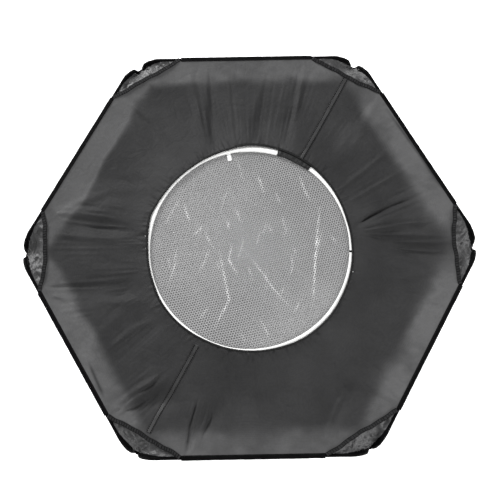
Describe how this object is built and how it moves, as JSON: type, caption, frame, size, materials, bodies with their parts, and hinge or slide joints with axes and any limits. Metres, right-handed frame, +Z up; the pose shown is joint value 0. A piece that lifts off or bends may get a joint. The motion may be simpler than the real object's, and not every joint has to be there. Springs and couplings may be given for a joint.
{
  "type": "pop-up roundnet base",
  "caption": "Hexagonal fold-flat roundnet base: spring-loop fabric sides under a nylon deck with a round net in a hooped rim",
  "frame": {"origin": "On the ground under the centre of the net", "axes": "+Z up, +X along the corner-to-corner width, +Y to the rear side, which stays still in the fold"},
  "size_m": [1.1008, 0.964, 0.2506],
  "materials": {
    "deck_nylon": "woven nylon with a soft sheen",
    "side_nylon": "woven nylon with a soft sheen",
    "seam_tape": "double-stitched nylon tape",
    "strap_elastic": "ribbed elastic with zigzag stitching",
    "edge_tape": "black grosgrain tape",
    "loop_binding": "black binding over foam",
    "hem_tape": "black gathered hem",
    "cover_cloth": "black folded cloth",
    "elastic_cord": "braided elastic",
    "rim_webbing": "white woven webbing",
    "net_mesh": "grey knotless hexagonal net",
    "label_cloth": "blank white satin",
    "spring_steel": "drawn spring wire",
    "crimp_steel": "crimped sleeve"
  },
  "bodies": {
    "deck_and_rear": {"deck_cloth_left": "deck_nylon", "deck_cloth_right": "deck_nylon", "deck_seam_rear": "seam_tape", "deck_seam_front": "seam_tape", "corner_strap_right": "strap_elastic", "corner_strap_rear_right": "strap_elastic", "corner_strap_rear_left": "strap_elastic", "corner_strap_left": "strap_elastic", "corner_strap_front_left": "strap_elastic", "corner_strap_front_right": "strap_elastic", "corner_cloth_right": "deck_nylon", "corner_cloth_rear_right": "deck_nylon", "corner_cloth_rear_left": "deck_nylon", "corner_cloth_left": "deck_nylon", "corner_cloth_front_left": "deck_nylon", "corner_cloth_front_right": "deck_nylon", "opening_hem": "hem_tape", "hem_elastic": "elastic_cord", "net_rim_band": "rim_webbing", "net_hoop": "spring_steel", "hoop_ferrule": "crimp_steel", "net": "net_mesh", "hoop_joint_cover": "cover_cloth", "care_label": "label_cloth", "edge_sleeve_rear": "edge_tape", "side_cloth_rear": "side_nylon", "side_binding_rear": "loop_binding", "side_wire_rear": "spring_steel", "wire_ferrule_rear": "crimp_steel", "corner_tape_rear_right": "edge_tape", "corner_tape_rear_left": "edge_tape"},
    "side_rear_left": {"edge_sleeve_rear_left": "edge_tape", "side_cloth_rear_left": "side_nylon", "side_binding_rear_left": "loop_binding", "side_wire_rear_left": "spring_steel", "wire_ferrule_rear_left": "crimp_steel", "corner_tape_left": "edge_tape"},
    "side_front_left": {"edge_sleeve_front_left": "edge_tape", "side_cloth_front_left": "side_nylon", "side_binding_front_left": "loop_binding", "side_wire_front_left": "spring_steel", "wire_ferrule_front_left": "crimp_steel", "corner_tape_front_left": "edge_tape"},
    "side_front": {"edge_sleeve_front": "edge_tape", "side_cloth_front": "side_nylon", "side_binding_front": "loop_binding", "side_wire_front": "spring_steel", "wire_ferrule_front": "crimp_steel", "corner_tape_front_right": "edge_tape"},
    "side_rear_right": {"edge_sleeve_rear_right": "edge_tape", "side_cloth_rear_right": "side_nylon", "side_binding_rear_right": "loop_binding", "side_wire_rear_right": "spring_steel", "wire_ferrule_rear_right": "crimp_steel", "corner_tape_right": "edge_tape"},
    "side_front_right": {"edge_sleeve_front_right": "edge_tape", "side_cloth_front_right": "side_nylon", "side_binding_front_right": "loop_binding", "side_wire_front_right": "spring_steel", "wire_ferrule_front_right": "crimp_steel"}
  },
  "joints": [
    {"name": "fold_rear_left", "type": "hinge", "parent": "deck_and_rear", "child": "side_rear_left", "pos_m": [-0.27182, 0.47081, 0.124], "axis": [0, 0, -1], "range_deg": [0, 57], "deforming": ["deck_cloth_left", "deck_cloth_right", "deck_seam_rear", "deck_seam_front", "corner_strap_right", "corner_strap_rear_right", "corner_strap_rear_left", "corner_strap_left", "corner_strap_front_left", "corner_strap_front_right", "corner_cloth_right", "corner_cloth_rear_right", "corner_cloth_rear_left", "corner_cloth_left", "corner_cloth_front_left", "corner_cloth_front_right", "opening_hem", "hem_elastic", "net_rim_band", "net_hoop", "hoop_ferrule", "net", "hoop_joint_cover", "care_label"]},
    {"name": "fold_left", "type": "hinge", "parent": "side_rear_left", "child": "side_front_left", "pos_m": [-0.54365, 0, 0.124], "axis": [0, 0, 1], "range_deg": [0, 114]},
    {"name": "fold_front_left", "type": "hinge", "parent": "side_front_left", "child": "side_front", "pos_m": [-0.27182, -0.47081, 0.124], "axis": [0, 0, -1], "range_deg": [0, 57]},
    {"name": "fold_rear_right", "type": "hinge", "parent": "deck_and_rear", "child": "side_rear_right", "pos_m": [0.27182, 0.47081, 0.124], "axis": [0, 0, 1], "range_deg": [0, 57]},
    {"name": "fold_right", "type": "hinge", "parent": "side_rear_right", "child": "side_front_right", "pos_m": [0.54365, 0, 0.124], "axis": [0, 0, -1], "range_deg": [0, 114]}
  ],
  "couplings": [
    {"joint": "fold_left", "follows": "fold_rear_left", "ratio": 2},
    {"joint": "fold_front_left", "follows": "fold_rear_left", "ratio": 1},
    {"joint": "fold_rear_right", "follows": "fold_rear_left", "ratio": 1},
    {"joint": "fold_right", "follows": "fold_rear_left", "ratio": 2}
  ]
}
